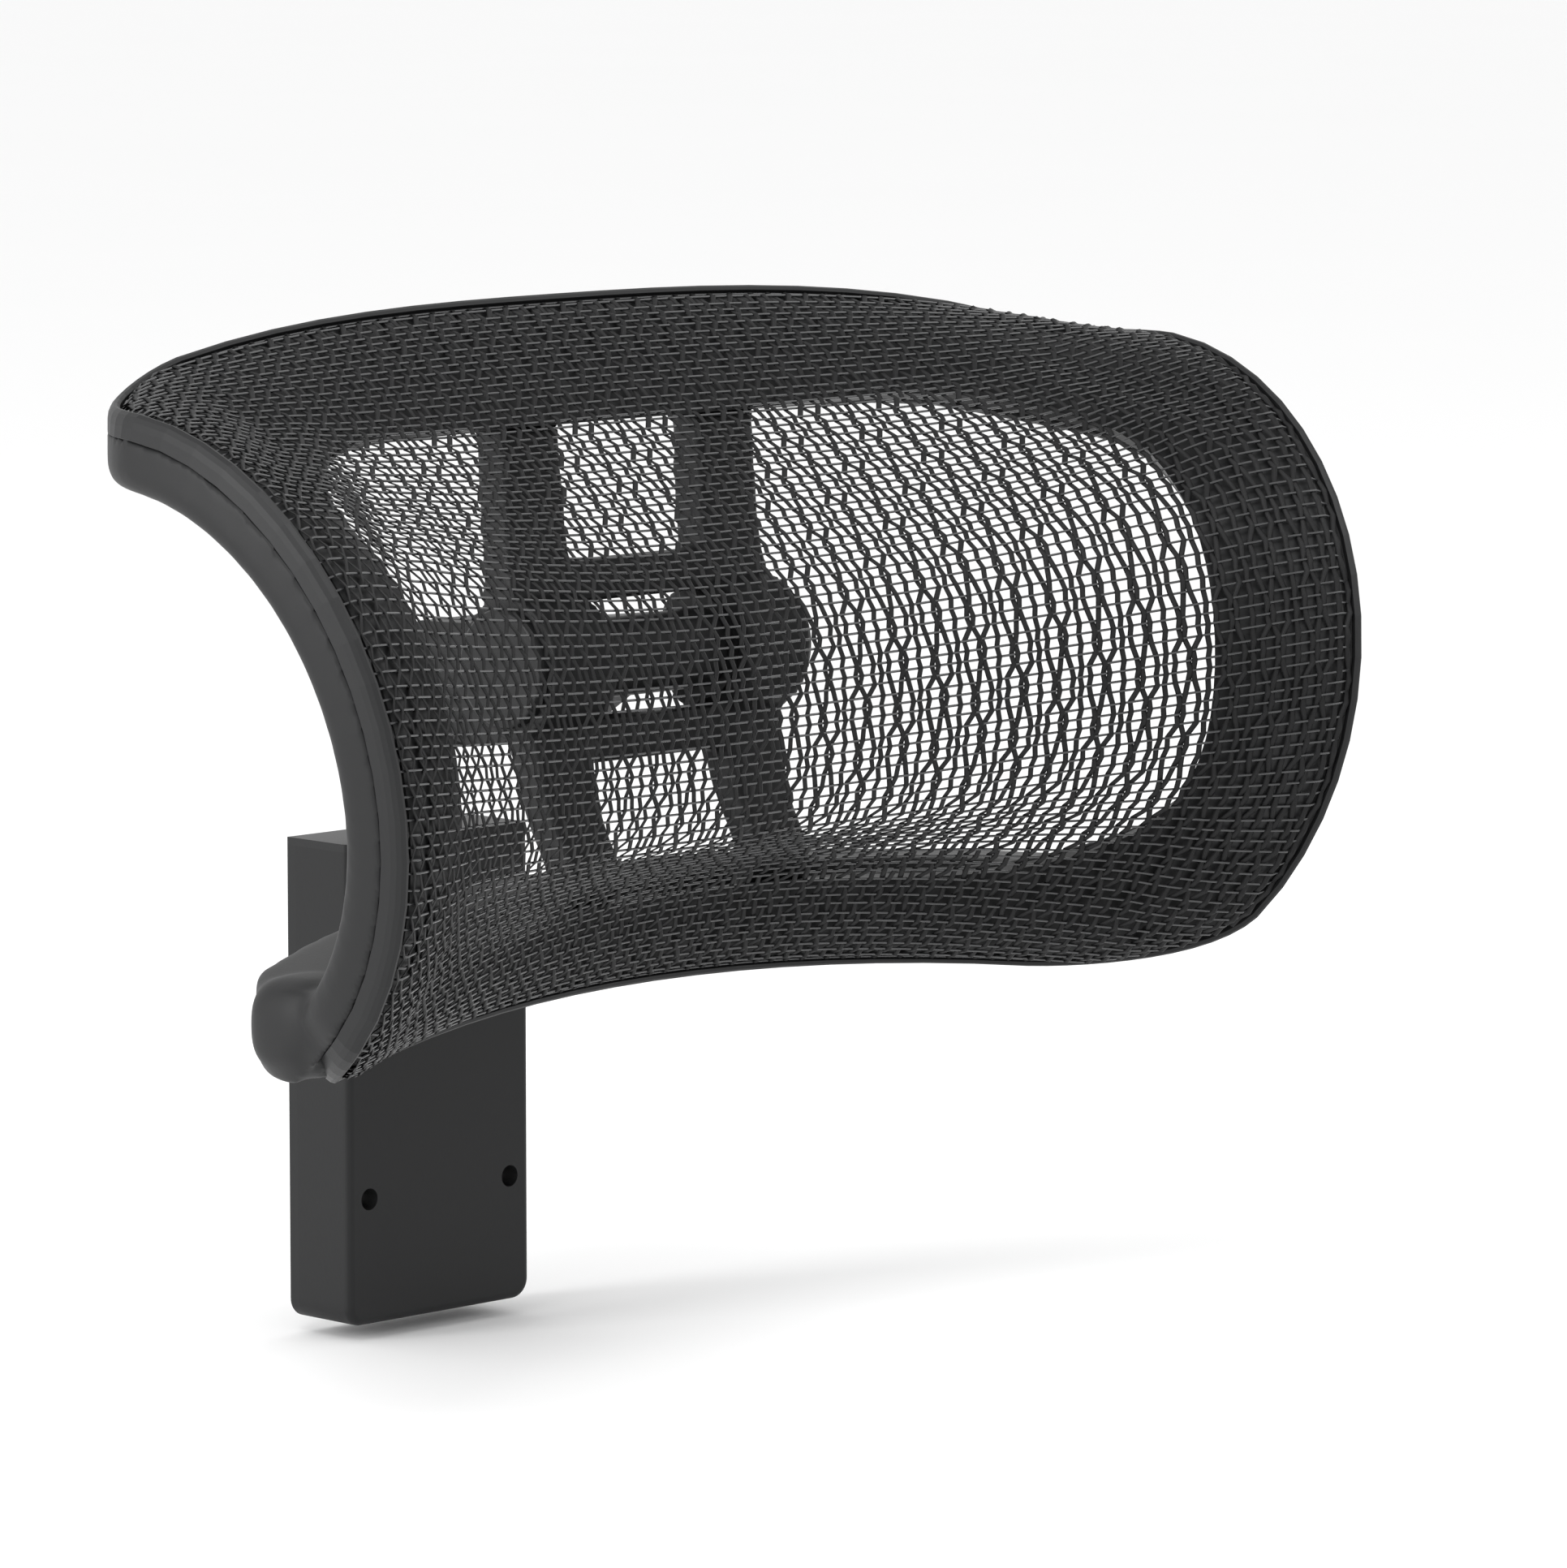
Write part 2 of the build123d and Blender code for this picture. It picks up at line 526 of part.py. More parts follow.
def guide_collar():
    lip = block((-BRACKET_HALF, BRACKET_HALF), (0, BASE_DEPTH + COVER_THICK),
                (BRACKET_HIGH, BRACKET_HIGH + 2.0))
    lip = lip.fillet(2.0, [e for e in lip.edges().filter_by(Axis.Z) if e.center().Y < 1])
    plug = block((-CHANNEL_HALF, CHANNEL_HALF), (FRONT_WALL, BASE_DEPTH), (BRACKET_HIGH - 7.0, BRACKET_HIGH))
    gap = SLIDE_GAP
    mouth = block((-NECK_HALF - gap, NECK_HALF + gap), (POST_Y - 5 - gap, POST_Y + 5 + gap),
                  (BRACKET_HIGH - 8, BRACKET_HIGH + 3))
    return lip.fuse(plug).cut(mouth)


def guide_liner(front):
    """Low-friction pad between the post and the channel."""
    if front:
        depth = (FRONT_WALL, POST_Y - 5 - SLIDE_GAP)
    else:
        depth = (POST_Y + 5 + SLIDE_GAP, BASE_DEPTH)
    pad = block((-12, 12), depth, (12, 36))
    return pad.fillet(0.4, pad.edges().filter_by(Axis.Z))


# ---------------------------------------------------------------- latch
LATCH_LOW = LATCH_Z - LATCH_THICK / 2
LATCH_HIGH = LATCH_Z + LATCH_THICK / 2


def latch_plate():
    plate = block((-19.5, BUTTON_WALL - 4.5), (7.4, 18.6), (LATCH_LOW, LATCH_HIGH))
    window = block((-NECK_HALF - 3.4, NECK_HALF + LATCH_TRAVEL + 0.4), (POST_Y - 5.3, POST_Y + 5.3),
                   (LATCH_LOW - 1, LATCH_HIGH + 1))
    tooth = block((-NECK_HALF - 3.4, -NECK_HALF - 0.3), (POST_Y - 4.5, POST_Y + 4.5), (LATCH_LOW, LATCH_HIGH))
    return plate.cut(window).fuse(tooth)


def latch_button():
    flange = block((BUTTON_WALL - 4.5, BUTTON_WALL - 0.3), (7.5, 18.5), (LATCH_Z - 6.2, LATCH_Z + 6.2))
    key = block((BUTTON_WALL - 0.3, BRACKET_HALF + 4.0), (8.3, 17.7), (LATCH_Z - 5, LATCH_Z + 5))
    key = key.fillet(1.2, key.edges().filter_by(Axis.X))
    key = key.fillet(0.8, key.faces().sort_by(Axis.X)[-1].edges())
    return flange.fuse(key)


def latch_spring():
    low, high = POCKET_LEFT, -19.5
    path = Helix(pitch=SPRING_PITCH, height=high - low - 2 * SPRING_WIRE_R - 0.1, radius=SPRING_R)
    wire = Wire.make_circle(SPRING_WIRE_R, Plane(path @ 0, z_dir=path % 0))
    coil = Solid.sweep(Face(wire), Wire([path]))
    return coil.rotate(Axis.Y, 90).moved(Location((low + SPRING_WIRE_R + 0.05, POST_Y, LATCH_Z)))


# ---------------------------------------------------------------- hinge hardware
def eye_bush(side):
    low, high = sorted((side * EYE_IN, side * EYE_POCKET_FROM))
    return at_tilt(x_rod(BUSH_R, low, high).cut(x_rod(BOLT_R + RUNNING_GAP, low, high)))


def pivot_bolt():
    shank = x_rod(BOLT_R, -EYE_POCKET_FROM - 5.6, EYE_POCKET_FROM + WASHER_THICK)
    head = x_rod(BOLT_HEAD_R, EYE_POCKET_FROM + WASHER_THICK, EYE_POCKET_FROM + WASHER_THICK + BOLT_HEAD)
    socket = Face(Wire(RegularPolygon(2.9, 6).wire().edges()))
    key = Solid.extrude(socket, Vector(0, 0, 4)).rotate(Axis.Y, 90)
    key = key.moved(Location((EYE_POCKET_FROM + WASHER_THICK + BOLT_HEAD - 2.5, 0, 0)))
    return at_tilt(shank.fuse(head).cut(key))


def lock_nut():
    hexagon = Face(Wire(RegularPolygon(NUT_ACROSS / 2, 6, major_radius=False).wire().edges()))
    nut = Solid.extrude(hexagon, Vector(0, 0, NUT_THICK)).rotate(Axis.Y, 90)
    nut = nut.moved(Location((-EYE_POCKET_FROM - WASHER_THICK - NUT_THICK, 0, 0)))
    return at_tilt(nut.cut(x_rod(BOLT_R + 0.01, -60, 0)))


def pivot_washers():
    left = x_rod(8.4, EYE_POCKET_FROM, EYE_POCKET_FROM + WASHER_THICK)
    right = x_rod(8.4, -EYE_POCKET_FROM - WASHER_THICK, -EYE_POCKET_FROM)
    return Compound([at_tilt(ring.cut(x_rod(BOLT_R + 0.1, -60, 60))) for ring in (left, right)])


def friction_washer(side):
    low, high = sorted((side * (BARREL_HALF + 0.05), side * (EYE_IN - 0.05)))
    return at_tilt(x_rod(FRICTION_R, low, high).cut(x_rod(BOLT_R + 0.2, low, high)))


def eye_cap(side):
    low, high = sorted((side * EYE_OUT, side * (EYE_OUT + CAP_THICK)))
    cap = x_rod(CAP_R, low, high)
    rim = [edge for edge in cap.edges().filter_by(GeomType.CIRCLE)
           if abs(abs(edge.center().X) - EYE_OUT - CAP_THICK) < 0.01]
    cap = cap.fillet(1.2, rim)
    low, high = sorted((side * (EYE_OUT - 1.6), side * EYE_OUT))
    return at_tilt(cap.fuse(x_rod(EYE_POCKET_R - 0.05, low, high)))


def barrel_tube():
    tube = x_rod(BUSH_R, -BARREL_HALF, BARREL_HALF)
    return at_tilt(tube.cut(x_rod(BOLT_R + RUNNING_GAP, -BARREL_HALF, BARREL_HALF)))


def ring_screws():
    return Compound([at_tilt(screw) for screw in all_ring_screws(1.45, 3.0, 0.9, 12.0, 14.0)])


front_ring = ring_loft(front_section)
front_ring = front_ring.cut(*all_ring_screws(1.5, 1.6, 0.8, 12.0, 13.0))
parts = {
    "front_ring": at_tilt(front_ring),
    "rear_frame": at_tilt(rear_frame(ring_loft(front_cutter_section))),
    "mesh_panel": at_tilt(mesh_panel()),
    "mesh_spline": at_tilt(ring_loft(strip_section)),
    "ring_screws": ring_screws(),
    "eye_bush_left": eye_bush(1),
    "eye_bush_right": eye_bush(-1),
    "pivot_bolt": pivot_bolt(),
    "lock_nut": lock_nut(),
    "pivot_washers": pivot_washers(),
    "friction_washer_left": friction_washer(1),
    "friction_washer_right": friction_washer(-1),
    "eye_cap_left": eye_cap(1),
    "eye_cap_right": eye_cap(-1),
    "neck_arm": neck_arm(),
    "barrel_tube": barrel_tube(),
    "post_sleeve": post_sleeve(),
    "post_core": post_core(),
    "core_screw": core_screw(),
    "bar_stop": bar_stop(),
    "stop_screw": stop_screw(),
    "bracket_base": bracket_base(),
    "bracket_cover": bracket_cover(),
    "cover_screws": cover_screws(),
    "guide_collar": guide_collar(),
    "guide_liner_front": guide_liner(True),
    "guide_liner_rear": guide_liner(False),
    "latch_plate": latch_plate(),
    "latch_button": latch_button(),
    "latch_spring": latch_spring(),
}
for name, shape in parts.items():
    export_step(shape, f"parts/{name}.step")
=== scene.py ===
import math

import bmesh
import bpy
import numpy as np
from mathutils import Matrix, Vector
from mathutils.bvhtree import BVHTree


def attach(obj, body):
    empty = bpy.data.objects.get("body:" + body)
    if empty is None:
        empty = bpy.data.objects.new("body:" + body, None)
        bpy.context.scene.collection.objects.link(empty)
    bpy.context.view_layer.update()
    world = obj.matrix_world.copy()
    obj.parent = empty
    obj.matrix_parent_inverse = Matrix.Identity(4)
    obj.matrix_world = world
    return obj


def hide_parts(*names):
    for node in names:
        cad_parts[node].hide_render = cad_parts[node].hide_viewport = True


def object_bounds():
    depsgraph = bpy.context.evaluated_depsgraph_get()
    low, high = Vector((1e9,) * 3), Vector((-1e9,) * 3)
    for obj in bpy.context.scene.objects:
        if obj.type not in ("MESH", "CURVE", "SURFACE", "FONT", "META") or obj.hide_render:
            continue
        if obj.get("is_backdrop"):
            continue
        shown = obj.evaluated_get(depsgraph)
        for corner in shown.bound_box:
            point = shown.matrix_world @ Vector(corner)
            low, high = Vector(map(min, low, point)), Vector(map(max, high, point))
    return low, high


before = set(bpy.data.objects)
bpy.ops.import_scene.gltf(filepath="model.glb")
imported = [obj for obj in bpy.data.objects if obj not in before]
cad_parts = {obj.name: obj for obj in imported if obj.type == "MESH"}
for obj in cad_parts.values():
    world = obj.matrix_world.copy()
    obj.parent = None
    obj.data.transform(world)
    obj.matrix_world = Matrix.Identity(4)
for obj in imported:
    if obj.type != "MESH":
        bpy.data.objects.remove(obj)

bl_info = {
    "name": "Chair headrest attachment",
    "version": (1, 0, 0),
    "blender": (4, 5, 0),
    "location": "View3D > Sidebar > Headrest",
    "description": "Woven head panel, finishes and studio for a mesh office chair headrest",
    "category": "Add Mesh",
}

# The head surface, in metres from the tilt axis; the same numbers as the CAD part's.
HEAD_PIVOT = (0.0, -0.072, 0.113)
ARC_CENTRE = (-0.0077, -0.0134)
ARC_R = 0.0828
ARC_LOW, ARC_HIGH = math.radians(-67.0), math.radians(104.6)
HALF_WIDTH, FLARE = 0.1603, 0.0124
STATIONS = np.array([-1.0, -0.62, -0.25, 0.12, 0.5, 0.78, 1.0])
MID_Y = np.array([-0.0060, -0.0240, -0.0470, -0.0477, -0.0314, 0.0031, 0.0279])
MID_Z = np.array([-0.0782, -0.0499, -0.0335, 0.0059, 0.0310, 0.0618, 0.0849])
EDGE_CORNER = 0.27
WINDOW = (0.79, 0.75, 0.725)


class HeadrestWeave(bpy.types.PropertyGroup):
    """Sizes of the woven panel, and how the rear frame is softened."""

    weft_rows: bpy.props.IntProperty(
        name="Weft rows", description="Cross threads from bottom to top", default=86)
    repeats: bpy.props.IntProperty(
        name="Repeats", description="Pattern repeats across, of eight warps each", default=14)
    warp_width: bpy.props.FloatProperty(
        name="Warp width", description="Width of a ribbon warp", default=0.00158, unit="LENGTH")
    warp_thick: bpy.props.FloatProperty(
        name="Warp thickness", description="Thickness of a ribbon warp", default=0.00034, unit="LENGTH")
    weft_radius: bpy.props.FloatProperty(
        name="Weft radius", description="Radius of a cross thread", default=0.00031, unit="LENGTH")
    clearance: bpy.props.FloatProperty(
        name="Clearance", description="Gap between the weave and the ring behind it", default=0.0010,
        unit="LENGTH")
    moulding_grain: bpy.props.FloatProperty(
        name="Moulding grain", description="Finest detail kept where ribs blend", default=0.0010,
        unit="LENGTH")
    moulding_passes: bpy.props.IntProperty(
        name="Moulding passes", description="How often the rear frame is softened", default=12)
    crown: bpy.props.FloatProperty(
        name="Crown", description="Height of the padded edge the weave is pulled over", default=0.0024,
        unit="LENGTH")


class HeadrestColours(bpy.types.PropertyGroup):
    """Colours of the finishes, as linear light."""

    plastic: bpy.props.FloatVectorProperty(
        name="Plastic", description="Textured charcoal plastic", default=(0.0105, 0.0107, 0.0112),
        size=3, subtype="COLOR", min=0.0, max=1.0)
    warp: bpy.props.FloatVectorProperty(
        name="Warp", description="Black ribbon yarn", default=(0.0040, 0.0040, 0.0044),
        size=3, subtype="COLOR", min=0.0, max=1.0)
    weft: bpy.props.FloatVectorProperty(
        name="Weft", description="Smoky clear thread", default=(0.026, 0.0264, 0.0274),
        size=3, subtype="COLOR", min=0.0, max=1.0)
    steel: bpy.props.FloatVectorProperty(
        name="Steel", description="Zinc-plated steel", default=(0.47, 0.47, 0.48),
        size=3, subtype="COLOR", min=0.0, max=1.0)
    acetal: bpy.props.FloatVectorProperty(
        name="Acetal", description="Natural bearing plastic", default=(0.62, 0.60, 0.54),
        size=3, subtype="COLOR", min=0.0, max=1.0)
    floor: bpy.props.FloatVectorProperty(
        name="Floor", description="Studio floor", default=(0.90, 0.90, 0.90),
        size=3, subtype="COLOR", min=0.0, max=1.0)


# ------------------------------------------------------------ head surface
def through_stations(values, q):
    """A smooth curve through the centre stations, at q."""
    slopes = np.empty(len(values))
    slopes[1:-1] = (values[2:] - values[:-2]) / (STATIONS[2:] - STATIONS[:-2])
    slopes[0] = (values[1] - values[0]) / (STATIONS[1] - STATIONS[0])
    slopes[-1] = (values[-1] - values[-2]) / (STATIONS[-1] - STATIONS[-2])
    i = np.clip(np.searchsorted(STATIONS, q) - 1, 0, len(values) - 2)
    span = STATIONS[i + 1] - STATIONS[i]
    u = (q - STATIONS[i]) / span
    rise = values[i] * (1 + 2 * u) * (1 - u) ** 2 + values[i + 1] * u * u * (3 - 2 * u)
    return rise + span * (slopes[i] * u * (1 - u) ** 2 - slopes[i + 1] * u * u * (1 - u))


def head_surface(p, q):
    """Points of the head surface in the row frame; p runs across and q up, from -1 to 1."""
    angle = ARC_LOW + (ARC_HIGH - ARC_LOW) * (q + 1) / 2
    side_y, side_z = ARC_CENTRE[0] - ARC_R * np.cos(angle), ARC_CENTRE[1] + ARC_R * np.sin(angle)
    mid_y, mid_z = through_stations(MID_Y, q), through_stations(MID_Z, q)
    x = p * (HALF_WIDTH + FLARE * np.sin(angle))
    lift_share = np.abs(p) ** (2 + np.maximum(0.0, q) ** 2)
    points = np.stack([x, mid_y + (side_y - mid_y) * p * p, mid_z + (side_z - mid_z) * lift_share], axis=-1)
    return points + np.array(HEAD_PIVOT)


def unit(vectors):
    """The vectors at length one."""
    return vectors / np.maximum(np.linalg.norm(vectors, axis=-1, keepdims=True), 1e-12)


def forward(p, q):
    """Unit normals towards the sitter."""
    step = 0.004
    across = head_surface(p + step, q) - head_surface(p - step, q)
    up = head_surface(p, q + step) - head_surface(p, q - step)
    return unit(np.cross(across, up))


def edge_reach(q):
    """How far p goes at height q before the rounded edge of the panel."""
    over = np.clip((np.abs(q) - 1 + EDGE_CORNER) / EDGE_CORNER, 0.0, 1.0)
    return 1 - EDGE_CORNER + EDGE_CORNER * np.sqrt(np.maximum(0.0, 1 - over ** 2))


EDGE_TUCK = 0.0024
EDGE_TUCK_RUN = 14
CROWN_TURN = 0.8 * math.pi


def stand_off(p, q, crown, clearance):
    """Height of the weave in front of the head surface: over the crown, and tucked down at the edge."""
    width, top, bottom = WINDOW
    share = np.minimum.reduce([(edge_reach(q) - np.abs(p)) / (1 - width), (1 - q) / (1 - top),
                               (1 + q) / (1 - bottom)])
    share = np.clip(share, 0.0, 1.0)
    tuck = EDGE_TUCK * np.clip(1 - share * EDGE_TUCK_RUN, 0.0, 1.0) ** 2
    return clearance + crown * np.sin(share * CROWN_TURN) - tuck


PUCKER_HEIGHT = 0.0011
PUCKER_PLACE = (0.80, 0.52)
PUCKER_SIZE = (0.16, 0.26)


def pucker(p, q):
    """Soft creases where the weave is pulled into the upper corners of its ring."""
    u, v = (np.abs(p) - PUCKER_PLACE[0]) / PUCKER_SIZE[0], (q - PUCKER_PLACE[1]) / PUCKER_SIZE[1]
    ridge = np.cos((u * 0.9 + v * 0.7) * 5.2)
    return PUCKER_HEIGHT * ridge * np.exp(-(u * u + v * v) * 1.5)


def weave_surface(p, q, settings):
    """Point and forward direction of the weave's middle."""
    way = forward(np.clip(p, -0.98, 0.98), np.clip(q, -0.98, 0.98))
    height = stand_off(p, q, settings.crown, settings.clearance) + pucker(p, q)
    return head_surface(p, q) + way * height[..., None], way


def middle_run():
    """q down the middle of the panel, with the share of the middle's length up to it."""
    q = np.linspace(-1.0, 1.0, 401)
    steps = np.hypot(np.diff(through_stations(MID_Y, q)), np.diff(through_stations(MID_Z, q)))
    run = np.concatenate([[0.0], np.cumsum(steps)])
    return q, run / run[-1]


MIDDLE_Q, MIDDLE_SHARE = middle_run()


def row_height(row, rows, p):
    """q of a cross thread along its run: evenly spaced down the middle, and nearly so down the sides."""
    share = 0.003 + 0.994 * row / (rows - 1)
    middle = np.interp(share, MIDDLE_SHARE, MIDDLE_Q)
    side = 0.5 * (2 * share - 1) + 0.5 * middle
    return middle + (side - middle) * p * p


# ------------------------------------------------------------ mesh builders
def tube_mesh(name, paths, sides, widths, thicks, across, ways):
    """One mesh of closed flattened tubes, one along each path.

    Each path has its sideways and forward directions at every point, and the mesh's yarn attribute keeps
    the share round the tube and the distance along it.
    """
    verts, faces, along, start = [], [], [], 0
    turn = np.arange(sides) * 2 * math.pi / sides
    for path, side, way in zip(paths, across, ways):
        count = len(path)
        ring = (path[:, None, :] + side[:, None, :] * (np.cos(turn) * widths / 2)[None, :, None]
                + way[:, None, :] * (np.sin(turn) * thicks / 2)[None, :, None])
        verts.append(ring.reshape(-1, 3))
        base = start + np.arange(count - 1)[:, None] * sides
        k = np.arange(sides)[None, :]
        after = (k + 1) % sides
        quad = np.stack([base + k, base + after, base + sides + after, base + sides + k], axis=-1)
        faces.extend(quad.reshape(-1, 4).tolist())
        faces.append(list(range(start + sides - 1, start - 1, -1)))
        faces.append(list(range(start + (count - 1) * sides, start + count * sides)))
        run = np.concatenate([[0.0], np.cumsum(np.linalg.norm(np.diff(path, axis=0), axis=1))])
        along.append(np.stack([np.tile(turn / (2 * math.pi), count), np.repeat(run, sides)], axis=1))
        start += count * sides
    mesh = bpy.data.meshes.new(name)
    mesh.from_pydata(np.concatenate(verts).tolist(), [], faces)
    mesh.shade_smooth()
    layer = mesh.attributes.new("yarn", "FLOAT_VECTOR", "POINT")
    flat = np.concatenate(along)
    flat = np.column_stack([flat, np.zeros(len(flat))])
    layer.data.foreach_set("vector", flat.astype(np.float32).ravel())
    mesh.update()
    return mesh


def added(mesh):
    """A new object of the scene that holds the mesh."""
    piece = bpy.data.objects.new(mesh.name, mesh)
    bpy.context.scene.collection.objects.link(piece)
    return piece


# ------------------------------------------------------------ weave
# Where the eight warps of a repeat stand, on a repeat 600 wide. Blocks of four rows take turns.
BLOCK_A = (-17, 17, 120, 223, 257, 357, 417, 482)
BLOCK_B = (-43, 57, 118, 182, 283, 317, 420, 523)
REPEAT = 600.0
FIRST_WARP = 43
BLOCK_ROWS = 4
ROW_STEPS = (0.0, 0.94, 1.88, 2.82)
TUBE_SIDES = 6
WEFT_POINTS = 120
WEFT_REACH, WARP_REACH = 0.998, 0.997
SHARES = np.linspace(-1, 1, 81)


def row_positions(rows):
    """Uneven row numbers: four close rows, then a wider step."""
    places = [BLOCK_ROWS * (row // BLOCK_ROWS) + ROW_STEPS[row % BLOCK_ROWS] for row in range(rows)]
    scale = (rows - 1) / places[-1]
    return np.array(places) * scale


def spread_across(q_row, fractions, settings, rows):
    """p of the given shares of a row's own length."""
    p = np.linspace(-1.0, 1.0, 161)
    points, _ = weave_surface(p, row_height(q_row, rows, p), settings)
    run = np.concatenate([[0.0], np.cumsum(np.linalg.norm(np.diff(points, axis=0), axis=1))])
    return np.interp((np.asarray(fractions) + 1) / 2 * run[-1], run, p)


def weft_mesh(settings):
    """The cross threads, each from edge to edge."""
    rows = settings.weft_rows
    paths, sides, ways = [], [], []
    for place in row_positions(rows):
        reach = float(edge_reach(np.array(row_height(place, rows, 0.8)))) * WEFT_REACH
        p = np.linspace(-reach, reach, WEFT_POINTS)
        q = row_height(place, rows, p)
        points, way = weave_surface(p, q, settings)
        tangent = unit(np.gradient(points, axis=0))
        paths.append(points)
        sides.append(unit(np.cross(tangent, way)))
        ways.append(way)
    thick = settings.weft_radius * 2
    return tube_mesh("weave_wefts", paths, TUBE_SIDES, thick, thick, sides, ways)


def warp_mesh(settings):
    """The ribbon warps, over one cross thread and under the next."""
    rows = settings.weft_rows
    places = row_positions(rows)
    total = settings.repeats * REPEAT
    spreads = [spread_across(place, SHARES, settings, rows) for place in places]
    over_weft = settings.weft_radius + settings.warp_thick * 0.42
    paths, sides, ways = [], [], []
    for repeat in range(settings.repeats):
        for yarn in range(8):
            points_p, points_q, lift = [], [], []
            for row, place in enumerate(places):
                block = BLOCK_A if (row // BLOCK_ROWS) % 2 == 0 else BLOCK_B
                share = ((repeat * REPEAT + block[yarn] + FIRST_WARP) / total) * 2 - 1
                p = float(np.interp(share, SHARES, spreads[row]))
                q = float(row_height(place, rows, p))
                if abs(p) > float(edge_reach(np.array(q))) * WARP_REACH:
                    continue
                points_p.append(p)
                points_q.append(q)
                lift.append(1.0 if (row + yarn) % 2 else -1.0)
            if len(points_p) < 4:
                continue
            p, q = np.array(points_p), np.array(points_q)
            points, way = weave_surface(p, q, settings)
            points = points + way * (np.array(lift) * over_weft)[:, None]
            tangent = unit(np.gradient(points, axis=0))
            side = unit(np.cross(tangent, way))
            paths.append(points)
            sides.append(side)
            ways.append(unit(np.cross(side, tangent)))
    return tube_mesh("weave_warps", paths, TUBE_SIDES, settings.warp_width, settings.warp_thick, sides, ways)


# ------------------------------------------------------------ rear moulding
# A heel lump's centre and half size, in metres from the tilt axis.
HEEL_CENTRE = (0.1415, -0.0385, -0.0715)
HEEL_HALF_SIZE = (0.0125, 0.0130, 0.0118)
HEEL_SQUARENESS = 0.66
# Half length and radius about the tilt axis that stay sharp, for the bushes and caps to fit.
EYE_KEEP = (0.046, 0.020)
JOINT_REACH = 0.0007
BLEND_FROM, BLEND_RUN = 0.0012, 0.003
SOFTEN_ROUNDS = 2


def heel_mesh(side):
    """A rounded lump where the bottom bar runs into the rim."""
    shape = bmesh.new()
    bmesh.ops.create_icosphere(shape, subdivisions=5, radius=1.0)
    for vert in shape.verts:
        spread = [math.copysign(abs(part) ** HEEL_SQUARENESS, part) * half
                  for part, half in zip(vert.co, HEEL_HALF_SIZE)]
        x, y, z = (part + centre for part, centre in zip(spread, HEEL_CENTRE))
        vert.co = (side * x + HEAD_PIVOT[0], y + HEAD_PIVOT[1], z + HEAD_PIVOT[2])
    if side < 0:
        bmesh.ops.reverse_faces(shape, faces=shape.faces)
    mesh = bpy.data.meshes.new("heel")
    shape.to_mesh(mesh)
    shape.free()
    return mesh


def joined_mesh(name, meshes):
    """One mesh that holds all the meshes."""
    whole = bmesh.new()
    for mesh in meshes:
        whole.from_mesh(mesh)
    mesh = bpy.data.meshes.new(name)
    whole.to_mesh(mesh)
    whole.free()
    return mesh


def with_modifiers(piece):
    """The piece's mesh with its modifiers applied."""
    seen = piece.evaluated_get(bpy.context.evaluated_depsgraph_get())
    mesh = bpy.data.meshes.new_from_object(seen)
    piece.modifiers.clear()
    piece.data = mesh
    return mesh


def blend_share(co, gap):
    """How far a point may be smoothed: not at the joint line, nor at the hinge eyes."""
    from_axis = math.hypot(co.y - HEAD_PIVOT[1], co.z - HEAD_PIVOT[2])
    if abs(co.x) < EYE_KEEP[0] and from_axis < EYE_KEEP[1]:
        return 0.0
    return min(1.0, max(0.0, (gap - BLEND_FROM) / BLEND_RUN))


class HEADREST_OT_moulding(bpy.types.Operator):
    """Runs the ribs, struts and heels of the rear frame into each other with moulded fillets"""

    bl_idname = "headrest.moulding"
    bl_label = "Blend rear frame"

    def execute(self, context):
        settings = context.scene.headrest_weave
        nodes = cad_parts
        lumps = [nodes["rear_frame"].data, heel_mesh(-1), heel_mesh(1)]
        piece = added(joined_mesh("rear_moulding", lumps))
        merge = piece.modifiers.new("merge", "REMESH")
        merge.mode = "VOXEL"
        merge.voxel_size = settings.moulding_grain
        with_modifiers(piece)
        ring = nodes["front_ring"].data
        ring_tree = BVHTree.FromPolygons([vert.co for vert in ring.vertices],
                                         [face.vertices for face in ring.polygons])
        group = piece.vertex_groups.new(name="blend")
        for vert in piece.data.vertices:
            spot, _, _, gap = ring_tree.find_nearest(vert.co)
            if gap < JOINT_REACH:
                vert.co = spot
            share = blend_share(vert.co, gap)
            if share > 0:
                group.add([vert.index], share, "REPLACE")
        for _ in range(SOFTEN_ROUNDS):
            soften = piece.modifiers.new("soften", "SMOOTH")
            soften.factor = 0.5
            soften.iterations = settings.moulding_passes
            soften.vertex_group = "blend"
        with_modifiers(piece).shade_smooth()
        piece.vertex_groups.clear()
        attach(piece, "head")
        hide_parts("rear_frame")
        return {"FINISHED"}


class HEADREST_OT_weave(bpy.types.Operator):
    """Weaves the head panel from ribbon warps and clear cross threads"""

    bl_idname = "headrest.weave"
    bl_label = "Weave head panel"

    def execute(self, context):
        settings = context.scene.headrest_weave
        warps, wefts = added(warp_mesh(settings)), added(weft_mesh(settings))
        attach(warps, "head")
        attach(wefts, "head")
        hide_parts("mesh_panel")
        return {"FINISHED"}


# ------------------------------------------------------------ shader words
class Value:
    """A shader socket that can be used in sums."""

    def __init__(self, graph, socket):
        self.graph, self.socket = graph, socket

    def _math(self, operation, *parts):
        return self.graph.node("ShaderNodeMath", {"operation": operation}, dict(enumerate(parts)))["Value"]

    def __add__(self, other):
        return self._math("ADD", self, other)

    __radd__ = __add__

    def __mul__(self, other):
        return self._math("MULTIPLY", self, other)

    __rmul__ = __mul__

    def sin(self):
        return self._math("SINE", self)


